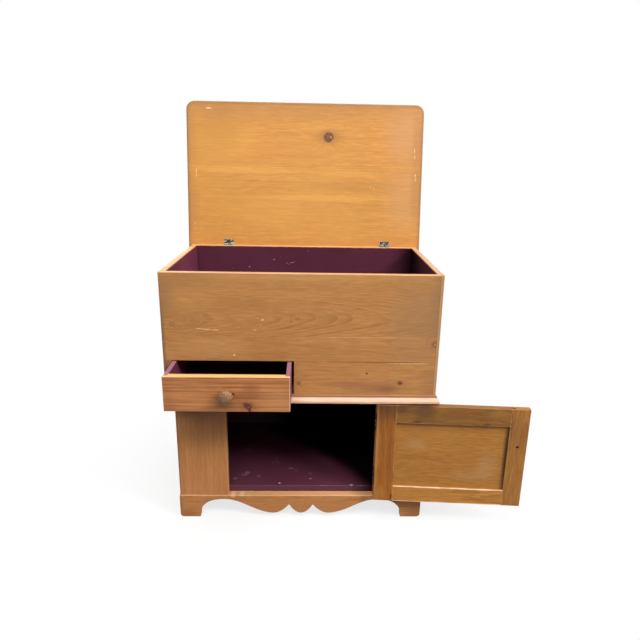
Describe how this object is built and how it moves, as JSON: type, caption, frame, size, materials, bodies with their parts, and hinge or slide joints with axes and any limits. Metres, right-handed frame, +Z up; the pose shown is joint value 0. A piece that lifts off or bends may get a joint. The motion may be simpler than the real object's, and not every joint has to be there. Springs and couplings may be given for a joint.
{
  "type": "dry sink",
  "caption": "Antique waxed-pine dry sink: lidded well over a drawer, on a one-door cupboard with a moulded waist and a scroll-cut bracket-foot apron.",
  "frame": {"origin": "on the floor, under the middle of the back face of the case", "axes": "+X to the right seen from the front, +Y towards the wall behind, +Z up"},
  "size_m": [1.0421, 0.6798, 1.2261],
  "materials": {
    "waxed_pine": "aged waxed pine, satin",
    "lid_pine": "honey pine, waxed, satin",
    "knob_wood": "turned pine, worn",
    "moulding_wood": "pale scrubbed pine, satin",
    "plum_paint": "old plum paint on pine, worn, matt",
    "hinge_steel": "old plated steel, dulled"
  },
  "bodies": {
    "case": {"front_top_board": "waxed_pine", "front_middle_board": "waxed_pine", "front_lower_board": "waxed_pine", "front_end_strip": "waxed_pine", "box_end_left": "waxed_pine", "box_end_right": "waxed_pine", "box_back_upper": "waxed_pine", "box_back_lower": "waxed_pine", "well_floor": "plum_paint", "drawer_divider": "waxed_pine", "drawer_guide": "waxed_pine", "waist_board": "waxed_pine", "waist_moulding_front": "moulding_wood", "waist_moulding_left": "moulding_wood", "waist_moulding_right": "moulding_wood", "stile_left": "waxed_pine", "stile_right": "waxed_pine", "cupboard_end_left": "waxed_pine", "cupboard_end_right": "waxed_pine", "back_board_left": "plum_paint", "back_board_middle": "plum_paint", "back_board_right": "plum_paint", "cupboard_floor": "plum_paint", "apron_front": "waxed_pine", "apron_left": "waxed_pine", "apron_right": "waxed_pine", "apron_back": "waxed_pine", "top_cleats": "plum_paint", "floor_cleats": "waxed_pine", "floor_bearer": "waxed_pine", "corner_blocks": "waxed_pine", "lid_hinge_case_leaves": "hinge_steel", "lid_hinge_pins": "hinge_steel", "lid_hinge_case_screws": "hinge_steel", "door_hinge_case_leaves": "hinge_steel", "door_hinge_pins": "hinge_steel", "door_hinge_case_screws": "hinge_steel"},
    "lid": {"lid_front_board": "lid_pine", "lid_rear_board": "lid_pine", "lid_hinge_lid_leaves": "hinge_steel", "lid_hinge_lid_screws": "hinge_steel"},
    "drawer": {"drawer_front": "waxed_pine", "drawer_side_left": "plum_paint", "drawer_side_right": "plum_paint", "drawer_back": "plum_paint", "drawer_bottom": "plum_paint", "drawer_knob": "knob_wood", "drawer_knob_screw": "hinge_steel"},
    "door": {"door_hinge_stile": "waxed_pine", "door_lock_stile": "waxed_pine", "door_top_rail": "waxed_pine", "door_bottom_rail": "waxed_pine", "door_panel": "waxed_pine", "door_knob": "knob_wood", "door_knob_screw": "hinge_steel", "door_hinge_door_leaves": "hinge_steel", "door_hinge_door_screws": "hinge_steel"}
  },
  "joints": [
    {"name": "lid_hinge", "type": "hinge", "parent": "case", "child": "lid", "pos_m": [0, 0.0029, 0.7624], "axis": [1, 0, 0], "range_deg": [0, 98]},
    {"name": "drawer_slide", "type": "slide", "parent": "case", "child": "drawer", "axis": [0, -1, 0], "range_m": [-0.112, 0.178]},
    {"name": "door_hinge", "type": "hinge", "parent": "case", "child": "door", "pos_m": [0.2165, -0.4363, 0.232], "axis": [0, 0, 1], "range_deg": [-176, 4]}
  ]
}
